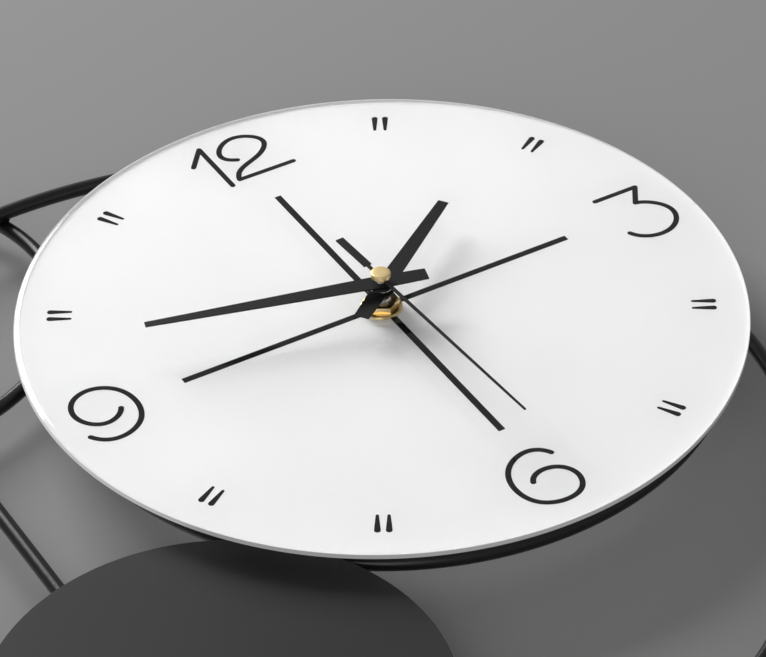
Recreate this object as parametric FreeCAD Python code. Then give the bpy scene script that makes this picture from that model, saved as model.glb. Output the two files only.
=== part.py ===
"""Pendulum wall clock: a glass dial on a frame of bent steel rod, with a quartz movement behind the dial
and a free-swinging pendulum under a round accent plate.

Every piece is drawn face up on a bench: x towards three o'clock, y towards twelve o'clock and z towards
the viewer, with zero on the hand axis at the front of the glass. The last step hangs the clock: +Z up,
the front facing -Y, and the origin midway between the two hanging holes, on the wall side of their tabs.
"""

import FreeCAD, Part
import math
import os

V = FreeCAD.Vector
UP = V(0, 0, 1)

# Dial, in mm
DIAL_R = 150.0
GLASS_T = 2.8
BEVEL_IN = 3.2
BEVEL_DOWN = 1.1
ARRIS = 0.4
FILM_T = 0.2
INK_T = 0.08
SPACER_R = 30.0
DIAL_BACK = -GLASS_T - INK_T - FILM_T

# Rod frame: layer one carries the dial ring, the big arc and the strut, layer two the small ring
ROD_R = 3.15
BAR_T = 2.0
BAR_W = 24.0
BAR_FRONT = -11.0
BAR_BACK = BAR_FRONT - BAR_T
LAYER_1 = BAR_BACK - ROD_R
LAYER_2 = LAYER_1 - 2 * ROD_R
WALL = -34.0
DIAL_RING = (2.7, 0.0, 139.2)
BIG_RING = (-85.2, -54.0, 214.0)
SMALL_RING = (-180.6, 132.6, 88.5)
STRUT_X = -182.0
STRUT_END_Y = -104.0
PLATE = (-160.6, -157.2, 88.4)
PLATE_T = 1.5

# Hangers: keyhole tabs in one horizontal line, hidden behind the dial
HOLE_Y = 50.0
HOLE_X = 105.0
HOLE_R = 4.5
SLOT_R = 2.3
SLOT_RISE = 8.0
TAB_T = 2.0
TAB_BACK = LAYER_1 - ROD_R - TAB_T

# Hand stack
WASHER_R = 8.8
WASHER_T = 1.5
NUT_FLATS = 13.0
NUT_T = 2.8
BUSH_R = 4.0
BUSH_TOP = 6.2
COLLAR_R = 5.5
DIAL_BORE_R = BUSH_R + 0.4
HOUR_Z = 8.8
MINUTE_Z = 12.7
SECOND_Z = 15.2
SHEET_T = 0.6
CAP_R = 4.1
CAP_TOP = 18.2
HOUR_ANGLE = 54.0
MINUTE_ANGLE = 285.0
SECOND_ANGLE = 177.0
FIT = 0.06

# Movement case
CASE_FRONT = -13.8
CASE_WALL = 1.3
CASE_BACK = -29.6
COVER_T = 1.4
CASE_X = 28.0
CASE_LOW, CASE_HIGH = -32.0, 24.0
CELL_R = 7.1
CELL_L = 49.0

# Going train: (x, y) of each arbor, tooth counts and modules
CENTRE = (0.0, 0.0)
THIRD_A, THIRD_M, CENTRE_M = 150.0, 9.0 / 34, 0.25
INTER_A, INTER_M, ROTOR_M = 40.0, 0.30, 0.25
MOTION_A, MOTION_M = -60.0, 0.40
KNOB_A = 0.0

# Pendulum drive behind the plate
PIVOT = (STRUT_X, -132.0)
SWING_X = 30.0
SWING_LOW, SWING_HIGH = -182.0, -116.0
SWING_FRONT = -13.2
SWING_BACK = -28.9
ARM_Z = -22.5
ARM_T = 2.2
EYE_Y = -189.0
ROD_Z = -24.8
PENDULUM_R = 1.2
BOB_Y = -342.0
BOB_R = 34.0
BOB_T = 7.0


def polar(radius, angle, centre=CENTRE):
    """A plan point at an angle counted from three o'clock, anticlockwise."""
    turn = math.radians(angle)
    return centre[0] + radius * math.cos(turn), centre[1] + radius * math.sin(turn)


def disc(radius, low, high, centre=CENTRE):
    """A round slab between two levels."""
    return Part.makeCylinder(radius, high - low, V(centre[0], centre[1], low), UP)


def tube(outer, inner, low, high, centre=CENTRE):
    """A straight tube between two levels."""
    return disc(outer, low, high, centre).cut(disc(inner, low - 1, high + 1, centre))


def slab(x0, x1, y0, y1, low, high):
    """A rectangular block between two levels."""
    return Part.makeBox(x1 - x0, y1 - y0, high - low, V(x0, y0, low))


def rounded_block(x0, x1, y0, y1, low, high, radius):
    """A block with its upright corners rounded."""
    block = slab(x0, x1, y0, y1, low, high)
    upright = [edge for edge in block.Edges if abs(edge.tangentAt(edge.FirstParameter).z) > 0.9]
    return block.makeFillet(radius, upright)


def plate_from(points, low, high):
    """A flat plate with straight sides between two levels."""
    wire = Part.makePolygon([V(x, y, low) for x, y in points + points[:1]])
    return Part.Face(wire).extrude(V(0, 0, high - low))


def turned(profile, centre=CENTRE):
    """A body of revolution about z, from (radius, level) points."""
    wire = Part.makePolygon([V(r, 0, z) for r, z in profile + profile[:1]])
    shape = Part.Face(wire).revolve(V(0, 0, 0), UP, 360)
    shape.translate(V(centre[0], centre[1], 0))
    return shape


def clockwise(shape, angle):
    """The shape turned about the hand axis as a clock hand turns."""
    turned_shape = shape.copy()
    turned_shape.rotate(V(0, 0, 0), UP, -angle)
    return turned_shape


def rod_ring(ring, level):
    """A full ring of round rod."""
    x, y, radius = ring
    return Part.makeTorus(radius, ROD_R, V(x, y, level), UP)


def hexagon(flats, low, high, centre=CENTRE):
    """A hexagonal prism with chamfered front corners."""
    corner = flats / math.sqrt(3)
    body = plate_from([polar(corner, 60 * k + 30, centre) for k in range(6)], low, high)
    cone_h = 0.35
    dome = turned([(0, low), (corner, low), (corner, high - cone_h), (flats / 2, high), (0, high)], centre)
    return body.common(dome)


# Dial ---------------------------------------------------------------------------------------------


def make_glass():
    """Glass disc with a polished bevel round its front edge and a hole for the bush."""
    profile = [
        (DIAL_BORE_R, -GLASS_T),
        (DIAL_R - ARRIS, -GLASS_T),
        (DIAL_R, -GLASS_T + ARRIS),
        (DIAL_R, -BEVEL_DOWN),
        (DIAL_R - BEVEL_IN, 0),
        (DIAL_BORE_R, 0),
    ]
    return turned(profile)


def make_film():
    """White film bonded behind the glass, out to its rear arris."""
    return tube(DIAL_R - ARRIS, DIAL_BORE_R, DIAL_BACK, DIAL_BACK + FILM_T)


def stroke(points, width, taper=1.0):
    """A printed stroke along a smooth line through plan points, with round ends."""
    low, high = DIAL_BACK + FILM_T, -GLASS_T
    path = Part.BSplineCurve()
    path.interpolate([V(x, y, low) for x, y in points])
    first, last = path.FirstParameter, path.LastParameter
    steps = max(3, 4 * (len(points) - 1))
    sides = ([], [])
    for k in range(steps + 1):
        at = first + (last - first) * k / steps
        half = width / 2 * (1 + (taper - 1) * k / steps)
        along = path.tangent(at)[0]
        across = V(-along.y, along.x, 0) * half
        sides[0].append(path.value(at) + across)
        sides[1].append(path.value(at) - across)
    edges = []
    for side in sides:
        curve = Part.BSplineCurve()
        curve.interpolate(side)
        edges.append(curve.toShape())
    for at, k, sense in ((first, 0, -1), (last, -1, 1)):
        half = sides[0][k].sub(sides[1][k]).Length / 2
        outward = path.tangent(at)[0] * (half * sense)
        edges.append(Part.Arc(sides[0][k], path.value(at) + outward, sides[1][k]).toShape())
    wire = Part.Wire(Part.__sortEdges__(edges))
    return Part.Face(wire).extrude(V(0, 0, high - low))


NUMERAL_W = 2.35
NUMERALS = {
    "twelve_flag": [(-18.8, 127.8), (-10.6, 138.2)],
    "twelve_stem": [(-10.6, 138.2), (-10.6, 107.6)],
    "twelve_two": [(0, 123), (-5, 129.4), (5.6, 138.2), (16.2, 129.4), (13, 124), (5, 119.4), (-2, 116),
                   (-6, 109.8)],
    "twelve_foot": [(-6, 109.8), (20.2, 109.8)],
    "three_top": [(114.4, 16.6), (134.5, 16.6)],
    "three_slope": [(134.5, 16.6), (128.5, 7)],
    "three_bowl": [(128.5, 7), (133.5, 4.6), (139.1, -5), (135, -13.5), (126.5, -16.6), (119, -14.4),
                   (114.9, -9.6)],
    "six": [(11, -112), (3, -106.6), (-7.6, -111), (-12.6, -123), (-9, -134), (1, -138.4), (10, -135.6),
            (13, -128), (10, -121.6), (3, -119), (-1.6, -120.2), (-4.4, -123.4)],
    "nine": [(-137.8, -10), (-126.6, -16), (-116.3, -11), (-112.3, 0), (-116.3, 11.9), (-126.6, 16.4),
             (-134.7, 12.8), (-137.6, 5.4), (-134.9, -2), (-128.9, -5.5), (-123.3, -4.3), (-119.4, -0.2)],
}
TICK_R = 131.2
TICK_L = 8.4
TICK_GAP = 4.5
TICK_W = 2.6
TICK_TAPER = 0.48
CROSS_W = 3.0
CROSS_OFF = 1.8
CROSS_REACH = 90.6


def make_markings():
    """Numerals at twelve, three, six and nine, twin strokes between them, and the offset cross."""
    marks = []
    for points in NUMERALS.values():
        marks.append(stroke(points, NUMERAL_W))
    for hour in (1, 2, 4, 5, 7, 8, 10, 11):
        for side in (-1, 1):
            x = side * TICK_GAP / 2
            tick = stroke([(x, TICK_R + TICK_L / 2), (x, TICK_R - TICK_L / 2)], TICK_W, TICK_TAPER)
            marks.append(clockwise(tick, 30 * hour))
    low, high = DIAL_BACK + FILM_T, -GLASS_T
    upright = slab(CROSS_OFF - CROSS_W / 2, CROSS_OFF + CROSS_W / 2, -CROSS_REACH, CROSS_REACH, low, high)
    level = slab(-CROSS_REACH, CROSS_REACH, CROSS_OFF - CROSS_W / 2, CROSS_OFF + CROSS_W / 2, low, high)
    cross = upright.fuse(level).cut(disc(BUSH_R + 0.6, low - 1, high + 1))
    ink = marks[0]
    for mark in marks[1:]:
        ink = ink.fuse(mark)
    return Part.makeCompound(ink.Solids + cross.Solids)


# Frame --------------------------------------------------------------------------------------------


def make_big_arc():
    """The open ring of rod, coped where it meets the dial ring."""
    x, y, radius = DIAL_RING
    inside = disc(radius, LAYER_1 - 10, LAYER_1 + 10, (x, y))
    arc = rod_ring(BIG_RING, LAYER_1).cut(inside).cut(rod_ring(DIAL_RING, LAYER_1))
    return max(arc.Solids, key=lambda solid: solid.Volume)


def make_strut():
    """The upright rod from the big arc down on to the back of the plate."""
    x, y, radius = BIG_RING
    top = y + math.sqrt(radius ** 2 - (STRUT_X - x) ** 2)
    rod = Part.makeCylinder(ROD_R, top - STRUT_END_Y, V(STRUT_X, STRUT_END_Y, LAYER_1), V(0, 1, 0))
    rod = rod.cut(rod_ring(BIG_RING, LAYER_1))
    return max(rod.Solids, key=lambda solid: solid.Volume)


def make_cross_bar():
    """Flat bar across the front of the dial ring that carries the dial and the movement."""
    x, y, radius = DIAL_RING
    bar = slab(x - radius - 1, x + radius + 1, -BAR_W / 2, BAR_W / 2, BAR_BACK, BAR_FRONT)
    bar = bar.common(disc(radius + 1, BAR_BACK - 1, BAR_FRONT + 1, (x, y)))
    return bar.cut(disc(BUSH_R + 0.5, BAR_BACK - 1, BAR_FRONT + 1))


def make_tab(x, rod_x):
    """Keyhole tab: a plate from under the rod to the hole, with its slot going up."""
    low, high = TAB_BACK, TAB_BACK + TAB_T
    tab = slab(min(x, rod_x), max(x, rod_x), HOLE_Y - 8, HOLE_Y + 8, low, high)
    tab = tab.fuse(rounded_block(x - 10, x + 10, HOLE_Y - 10, HOLE_Y + SLOT_RISE + 8, low, high, 4))
    tab = tab.cut(disc(HOLE_R, low - 1, high + 1, (x, HOLE_Y)))
    tab = tab.cut(slab(x - SLOT_R, x + SLOT_R, HOLE_Y, HOLE_Y + SLOT_RISE, low - 1, high + 1))
    tab = tab.cut(disc(SLOT_R, low - 1, high + 1, (x, HOLE_Y + SLOT_RISE)))
    return tab.removeSplitter()


def make_tabs():
    """Two tabs on the back of the dial ring, their holes in one line."""
    x, y, radius = DIAL_RING
    half = math.sqrt(radius ** 2 - (HOLE_Y - y) ** 2)
    left = make_tab(-HOLE_X, x - half)
    right = make_tab(HOLE_X, x + half)
    return Part.makeCompound(left.Solids + right.Solids)


def make_bumper(x, y):
    """Rubber foot pushed over a layer one rod, its face against the wall."""
    low = WALL
    foot = turned([(0, low), (5.2, low), (6, low + 0.8), (6, LAYER_1 + 1), (0, LAYER_1 + 1)], (x, y))
    return foot


def make_bumpers():
    """Two on the big arc and one high on the right of the dial ring."""
    feet = []
    for ring, angle in ((BIG_RING, 200), (BIG_RING, 285), (DIAL_RING, 40)):
        x, y, radius = ring
        foot = make_bumper(*polar(radius, angle, (x, y))).cut(rod_ring(ring, LAYER_1))
        feet.append(max(foot.Solids, key=lambda solid: solid.Volume))
    return Part.makeCompound(feet)


def make_plate():
    """Round accent plate welded to the front of the rods, its front edge just broken."""
    x, y, radius = PLATE
    back = BAR_BACK
    front = back + PLATE_T
    broken = 0.25
    profile = [(0, back), (radius, back), (radius, front - broken), (radius - broken, front), (0, front)]
    return turned(profile, (x, y))


# Hands --------------------------------------------------------------------------------------------


def make_bush():
    """Threaded bush: a collar in the case front and a ridged thread out through the dial."""
    bore = 2.5 + FIT
    inside = CASE_FRONT - CASE_WALL
    profile = [(bore, inside), (COLLAR_R, inside), (COLLAR_R, CASE_FRONT), (BUSH_R, CASE_FRONT)]
    z = WASHER_T + NUT_T
    profile.append((BUSH_R, z))
    while z < BUSH_TOP - 0.7:
        profile += [(BUSH_R - 0.35, z + 0.3), (BUSH_R, z + 0.6)]
        z += 0.6
    profile += [(BUSH_R - 0.4, BUSH_TOP), (bore, BUSH_TOP)]
    return turned(profile)


def make_washer():
    """Broad brass washer with a rounded shoulder."""
    bore = BUSH_R + 0.1
    r, t = WASHER_R, WASHER_T
    return turned([(bore, 0), (r, 0), (r, t - 0.7), (r - 0.2, t - 0.25), (r - 0.7, t), (bore, t)])


def make_nut():
    """Brass hexagon nut on the washer."""
    nut = hexagon(NUT_FLATS, WASHER_T, WASHER_T + NUT_T)
    return nut.cut(disc(BUSH_R, 0, 10))


def hand_sheet(outline, level, bore, angle, eye):
    """A flat hand cut from sheet, from half outline points (along, half width), with a round eye."""
    right = [(half, along) for along, half in outline]
    left = [(-half, along) for along, half in reversed(outline)]
    hand = plate_from(right + left, level, level + SHEET_T)
    hand = hand.fuse(disc(eye, level, level + SHEET_T)).cut(disc(bore, level - 1, level + 2))
    return clockwise(hand.removeSplitter(), angle)


def make_hour_hand():
    return hand_sheet([(-19.5, 3.2), (0, 3.8), (65.0, 2.3)], HOUR_Z, 2.5, HOUR_ANGLE, 5.5)


def make_minute_hand():
    return hand_sheet([(-19.5, 3.4), (0, 4.0), (98.0, 1.5)], MINUTE_Z, 1.6, MINUTE_ANGLE, 3.0)


def make_second_hand():
    outline = [(-31, 1.8), (-9.5, 1.8), (-9.5, 0.8), (0, 0.8), (102, 0.45)]
    return hand_sheet(outline, SECOND_Z, 0.5, SECOND_ANGLE, 1.9)


def make_cap():
    """Brass button that closes the end of the seconds arbor."""
    low = SECOND_Z + SHEET_T
    r = CAP_R
    profile = [(0, low), (r - 0.3, low), (r, low + 0.3), (r, CAP_TOP - 0.6), (r - 0.5, CAP_TOP), (0, CAP_TOP)]
    return turned(profile).cut(disc(0.5, low - 1, low + 1.2))


# Wheels -------------------------------------------------------------------------------------------


def gear(teeth, module, low, high, centre, phase, bore=0.0):
    """A small moulded wheel or pinion with straight-flanked teeth; phase is one tooth's direction."""
    pitch_r = teeth * module / 2
    step = 360.0 / teeth
    rows = ((pitch_r - 1.1 * module, 0.27), (pitch_r, 0.19), (pitch_r + 0.75 * module, 0.08))
    points = []
    for k in range(teeth):
        middle = phase + k * step
        points += [polar(r, middle - share * step, centre) for r, share in rows]
        points += [polar(r, middle + share * step, centre) for r, share in reversed(rows)]
    wheel = plate_from(points, low, high)
    return wheel.cut(disc(bore, low - 1, high + 1, centre)) if bore else wheel


def facing(angle, teeth):
    """Phase of a wheel that shows a gap to a neighbour standing at this angle."""
    return angle + 180.0 / teeth


THIRD = polar(9.0, THIRD_A)
INTER = polar(24 * INTER_M, INTER_A)
ROTOR = polar(28 * ROTOR_M, INTER_A, INTER)
MOTION = polar(20 * MOTION_M, MOTION_A)
KNOB = polar(21 * MOTION_M, KNOB_A, MOTION)
POST_R = 0.5
SLEEVE_R = 0.75


def on_post(pieces, low, high, centre):
    """Wheels fused to a sleeve that turns on a fixed post."""
    shape = disc(SLEEVE_R, low, high, centre)
    for piece in pieces:
        shape = shape.fuse(piece)
    return shape.cut(disc(POST_R + FIT, low - 1, high + 1, centre)).removeSplitter()


def make_seconds_arbor():
    """Steel arbor with the seconds wheel behind and its pinion in front of it."""
    arbor = disc(0.5, -29.0, SECOND_Z + SHEET_T + 1.2)
    wheel = gear(40, INTER_M, -24.2, -23.3, CENTRE, facing(INTER_A, 40))
    pinion = gear(8, THIRD_M, -23.3, -21.2, CENTRE, THIRD_A)
    return arbor.fuse(wheel).fuse(pinion)


def make_third_wheel():
    wheel = gear(60, THIRD_M, -22.4, -21.5, THIRD, facing(THIRD_A + 180, 60))
    pinion = gear(8, CENTRE_M, -21.5, -19.1, THIRD, THIRD_A + 180)
    return on_post([wheel, pinion], -22.9, -18.9, THIRD)


def make_centre_wheel():
    """Centre wheel with its cannon tube and the motion-work pinion."""
    wheel = gear(64, CENTRE_M, -20.4, -19.4, CENTRE, facing(THIRD_A, 64))
    pinion = gear(10, MOTION_M, -19.4, -17.4, CENTRE, MOTION_A)
    cannon = disc(1.6, -20.4, MINUTE_Z + SHEET_T)
    return cannon.fuse(wheel).fuse(pinion).cut(disc(0.5 + FIT, -30, 20))


def make_minute_wheel():
    wheel = gear(30, MOTION_M, -18.6, -17.7, MOTION, facing(MOTION_A + 180, 30))
    pinion = gear(8, MOTION_M, -17.7, -15.7, MOTION, MOTION_A + 180)
    return on_post([wheel, pinion], -18.9, -15.5, MOTION)


def make_hour_wheel():
    wheel = gear(32, MOTION_M, -17.0, -16.1, CENTRE, facing(MOTION_A, 32))
    return disc(2.5, -17.0, HOUR_Z + SHEET_T).fuse(wheel).cut(disc(1.6 + FIT, -30, 20))


def make_intermediate_wheel():
    wheel = gear(48, ROTOR_M, -25.9, -25.0, INTER, facing(INTER_A, 48))
    pinion = gear(8, INTER_M, -25.0, -23.0, INTER, INTER_A + 180)
    return on_post([wheel, pinion], -26.3, -22.7, INTER)


def make_rotor():
    """Plastic rotor with its pinion behind a round magnet."""
    pinion = gear(8, ROTOR_M, -26.1, -24.6, ROTOR, INTER_A + 180)
    flange = disc(1.6, -24.6, -24.2, ROTOR)
    return on_post([pinion, flange], -26.3, -22.0, ROTOR)


def make_rotor_magnet():
    return tube(2.5, SLEEVE_R, -24.2, -22.4, ROTOR)


def make_knob():
    """Setting knob: a pinion inside the case and a ribbed button behind the cover."""
    teeth = 12
    towards = math.degrees(math.atan2(MOTION[1] - KNOB[1], MOTION[0] - KNOB[0]))
    wheel_phase = facing(MOTION_A + 180, 30)
    step = 360.0 / 30
    lead = (wheel_phase - KNOB_A + step / 2) % step - step / 2
    pinion = gear(teeth, MOTION_M, -18.6, -17.6, KNOB, facing(towards, teeth) - lead * 30 / teeth)
    stem = disc(1.2, CASE_BACK - COVER_T - 0.6, -17.0, KNOB)
    button = disc(4.6, CASE_BACK - COVER_T - 2.4, CASE_BACK - COVER_T - 0.4, KNOB)
    for k in range(16):
        button = button.cut(disc(0.4, -40, -20, polar(4.75, 22.5 * k, KNOB)))
    return stem.fuse(pinion).fuse(button)


# Movement -----------------------------------------------------------------------------------------


CELL_Y = -22.0
CELL_Z = CASE_BACK + CELL_R + 0.1


def make_case():
    """Front shell of the movement with the cell bay open to the back and the posts that need it."""
    wall = CASE_WALL
    shell = rounded_block(-CASE_X, CASE_X, CASE_LOW, CASE_HIGH, CASE_BACK, CASE_FRONT, 3)
    room = rounded_block(
        -CASE_X + wall, CASE_X - wall, CASE_LOW + wall, CASE_HIGH - wall, CASE_BACK - 1, CASE_FRONT - wall, 2
    )
    shell = shell.cut(room).cut(disc(COLLAR_R, -40, 0))
    bay_wall = slab(-CASE_X + 1, CASE_X - 1, -14.6, -13.7, CASE_BACK, CASE_FRONT - wall)
    post = disc(POST_R, -19.0, CASE_FRONT - wall, MOTION)
    return shell.fuse(bay_wall).fuse(post).removeSplitter()


def make_cover():
    """Rear cover of the train, with the posts of the rear wheels and the hole for the knob."""
    low, high = CASE_BACK - COVER_T, CASE_BACK
    cover = rounded_block(-CASE_X, CASE_X, -14.6, CASE_HIGH, low, high, 2)
    for centre, top in ((THIRD, -18.7), (INTER, -22.5), (ROTOR, -21.8)):
        cover = cover.fuse(disc(1.2, high, -26.5, centre)).fuse(disc(POST_R, high, top, centre))
    boss = tube(1.6, 0.5 + FIT, high, -27.0)
    cover = cover.fuse(boss).cut(disc(0.5 + FIT, -29.2, -20))
    return cover.cut(disc(1.2 + FIT, low - 1, high + 1, KNOB)).removeSplitter()


def make_cell(middle, along):
    """An AA cell with its button end, along a plan direction."""
    can = Part.makeCylinder(CELL_R, CELL_L, V(0, 0, -CELL_L / 2), UP)
    can = can.makeFillet(0.8, can.Edges)
    button = Part.makeCylinder(2.7, 1.4, V(0, 0, CELL_L / 2 - 0.1), UP)
    cell = can.fuse(button)
    cell.Placement = FreeCAD.Placement(V(*middle), FreeCAD.Rotation(UP, V(*along)))
    return cell


CONTACT_T = 0.4
CONTACT_W = 10.0


def make_clock_contacts():
    """A strip at each end of the bay; the one for the flat end has a raised dimple that meets the cell."""
    inner = CASE_X - CASE_WALL
    gap = inner - CELL_L / 2
    low_y, low_z = CELL_Y - CONTACT_W / 2, CELL_Z - CONTACT_W / 2
    minus = Part.makeBox(CONTACT_T, CONTACT_W, CONTACT_W, V(-inner, low_y, low_z))
    dimple = Part.makeCone(3.0, 1.2, gap - CONTACT_T, V(CONTACT_T - inner, CELL_Y, CELL_Z), V(1, 0, 0))
    plus = Part.makeBox(CONTACT_T, CONTACT_W, CONTACT_W, V(inner - CONTACT_T, low_y, low_z))
    return Part.makeCompound([minus.fuse(dimple), plus])


COIL_Y = 18.6
COIL_Z = -23.0
COIL_X0, COIL_X1 = -4.0, 18.0
CORE_R = 1.6
COIL_R = 2.9
CHEEK_T, CHEEK_HALF = 1.0, 3.2


def along_coil(radius, x0, x1):
    """A round bar on the coil's axis."""
    return Part.makeCylinder(radius, x1 - x0, V(x0, COIL_Y, COIL_Z), V(1, 0, 0))


def make_bobbin():
    """Coil former with two end cheeks."""
    former = along_coil(CORE_R, COIL_X0, COIL_X1)
    for x in (COIL_X0, COIL_X1 - CHEEK_T):
        y, z = COIL_Y - CHEEK_HALF, COIL_Z - CHEEK_HALF
        former = former.fuse(Part.makeBox(CHEEK_T, 2 * CHEEK_HALF, 2 * CHEEK_HALF, V(x, y, z)))
    return former


def make_winding():
    """Copper winding between the cheeks."""
    wire = along_coil(COIL_R, COIL_X0 + CHEEK_T, COIL_X1 - CHEEK_T)
    return wire.cut(along_coil(CORE_R, COIL_X0, COIL_X1))


def make_stator():
    """Stator plate round the rotor's magnet, with legs up to the coil's ends."""
    low, high = -23.9, -22.9
    x, y = ROTOR
    plate = rounded_block(x - 6.2, x + 6.2, y - 4.4, y + 4.4, low, high, 1.5)
    for leg_x in (x - 6.2, x + 3.4):
        plate = plate.fuse(slab(leg_x, leg_x + 2.8, y + 2, COIL_Y - 3.3, low, high))
    plate = plate.cut(disc(2.9, low - 1, high + 1, ROTOR)).cut(disc(2.2, low - 1, high + 1, INTER))
    return plate.removeSplitter()


def make_board():
    """Circuit board beside the coil, with the chip under its dome of resin."""
    board = slab(-25.6, -12.8, 14.6, 21.6, -26.2, -25.2)
    dome = Part.makeSphere(3.6, V(-20.5, 18, -27.6))
    dome = dome.common(slab(-30, -10, 10, 25, -25.2, -20))
    return board.fuse(dome)


def make_crystal():
    """Quartz crystal can lying on the board."""
    can = Part.makeCylinder(1.0, 6.0, V(-15.0, 15.4, -24.2), V(0, 1, 0))
    return can.makeFillet(0.3, can.Edges)


# Pendulum -----------------------------------------------------------------------------------------

EAR_X = 36.0
EAR_Y = -148.0
EAR_T = 2.0
STUD_R = 1.45
STUD_NUT_T = 2.4
PIN_R = 1.0
PEG_R = 1.1
SWING_CELL = (PIVOT[0] - 20.5, -148.0, -21.7)
SWING_COIL_Y = -168.0


def make_swing_case():
    """Shell of the pendulum drive with two ears, a slot under it for the arm, and the pin's boss."""
    x = PIVOT[0]
    wall = 1.3
    shell = rounded_block(x - SWING_X, x + SWING_X, SWING_LOW, SWING_HIGH, SWING_BACK, SWING_FRONT, 3)
    for side in (-1, 1):
        ear_x = x + side * EAR_X
        ear = slab(ear_x - 6.5, ear_x + 6.5, EAR_Y - 5, EAR_Y + 5, SWING_FRONT - EAR_T, SWING_FRONT)
        shell = shell.fuse(ear).cut(disc(1.6, -40, 0, (ear_x, EAR_Y)))
    room = rounded_block(
        x - SWING_X + wall, x + SWING_X - wall, SWING_LOW + wall, SWING_HIGH - wall,
        SWING_BACK - 1, SWING_FRONT - wall, 2,
    )
    slot = slab(x - 14, x + 14, SWING_LOW - 1, SWING_LOW + 3, ARM_Z - 2.2, ARM_Z + 2.2)
    inside = SWING_FRONT - wall
    boss = tube(2.4, PIN_R, ARM_Z + 2, inside, PIVOT)
    return shell.cut(room).cut(slot).fuse(boss).removeSplitter()


def make_swing_cover():
    """Back of the pendulum drive with the boss for the pin's other end."""
    x = PIVOT[0]
    low = SWING_BACK - 1.3
    cover = rounded_block(x - SWING_X, x + SWING_X, SWING_LOW, SWING_HIGH, low, SWING_BACK, 3)
    cover = cover.fuse(disc(2.4, SWING_BACK, ARM_Z - 2, PIVOT))
    return cover.cut(disc(PIN_R, SWING_BACK, 0, PIVOT))


def make_pin():
    """Pin between the two bosses, on which the arm swings."""
    return disc(PIN_R, SWING_BACK, SWING_FRONT - 1.3, PIVOT)


def make_arm():
    """Arm from the pivot boss, through the magnet's seat, to the peg that carries the pendulum."""
    x, y = PIVOT
    low, high = ARM_Z - ARM_T / 2, ARM_Z + ARM_T / 2
    arm = disc(4.0, low, high, PIVOT)
    arm = arm.fuse(slab(x - 2.6, x + 2.6, EYE_Y, y, low, high))
    arm = arm.fuse(disc(6.0, low, high, (x, SWING_COIL_Y))).fuse(disc(3.4, low, high, (x, EYE_Y)))
    eye = (x, EYE_Y)
    arm = arm.fuse(disc(PEG_R, ROD_Z - 1.8, low, eye)).fuse(disc(1.7, ROD_Z - 2.4, ROD_Z - 1.8, eye))
    arm = arm.cut(disc(PIN_R + FIT, -40, 0, PIVOT)).cut(disc(4.5, -40, 0, (x, SWING_COIL_Y)))
    return arm.removeSplitter()


def make_swing_magnet():
    return disc(4.5, ARM_Z - ARM_T / 2, ARM_Z + ARM_T / 2, (PIVOT[0], SWING_COIL_Y))


def make_swing_coil():
    """Flat drive coil under the magnet's path."""
    return tube(8.0, 2.5, SWING_BACK, SWING_BACK + 3.2, (PIVOT[0], SWING_COIL_Y))


def make_swing_board():
    x = PIVOT[0] + 15
    return slab(x, x + 13, -172, -132, SWING_BACK, SWING_BACK + 1.0)


def make_swing_contacts():
    """A contact strip at each end of the cell."""
    x, y, z = SWING_CELL
    strips = []
    for end in (y - CELL_L / 2 - 1.0, y + CELL_L / 2 + 1.3):
        strips.append(slab(x - 5, x + 5, end, end + 0.5, z - 5, z + 5))
    return Part.makeCompound(strips)


def make_studs():
    """Weld studs on the back of the plate."""
    places = [(PIVOT[0] + side * EAR_X, EAR_Y) for side in (-1, 1)]
    return Part.makeCompound([disc(STUD_R, -20.0, BAR_BACK, place) for place in places])


def make_stud_nuts():
    nuts = []
    for side in (-1, 1):
        centre = (PIVOT[0] + side * EAR_X, EAR_Y)
        seat = SWING_FRONT - EAR_T
        nut = hexagon(5.5, seat - STUD_NUT_T, seat, centre)
        nuts.append(nut.cut(disc(STUD_R, -40, 0, centre)))
    return Part.makeCompound(nuts)


def make_pendulum_rod():
    """Thin rod with an eye at its top that hangs on the arm's peg."""
    x = PIVOT[0]
    eye = Part.makeTorus(2.4, 1.0, V(x, EYE_Y, ROD_Z), UP)
    top = EYE_Y - 2.6
    rod = Part.makeCylinder(PENDULUM_R, top - BOB_Y, V(x, BOB_Y, ROD_Z), V(0, 1, 0))
    return eye.fuse(rod)


def make_bob():
    """Lens-shaped brass bob bored for the rod."""
    rim, half = 1.0, BOB_T / 2
    x = PIVOT[0]
    ball_r = (BOB_R ** 2 + (half - rim) ** 2) / (2 * (half - rim))
    front = Part.makeSphere(ball_r, V(x, BOB_Y, ROD_Z + half - ball_r))
    back = Part.makeSphere(ball_r, V(x, BOB_Y, ROD_Z - half + ball_r))
    body = disc(BOB_R, ROD_Z - half, ROD_Z + half, (x, BOB_Y)).common(front).common(back)
    bore = Part.makeCylinder(PENDULUM_R, BOB_R + 5, V(x, BOB_Y, ROD_Z), V(0, 1, 0))
    return body.cut(bore)


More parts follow.
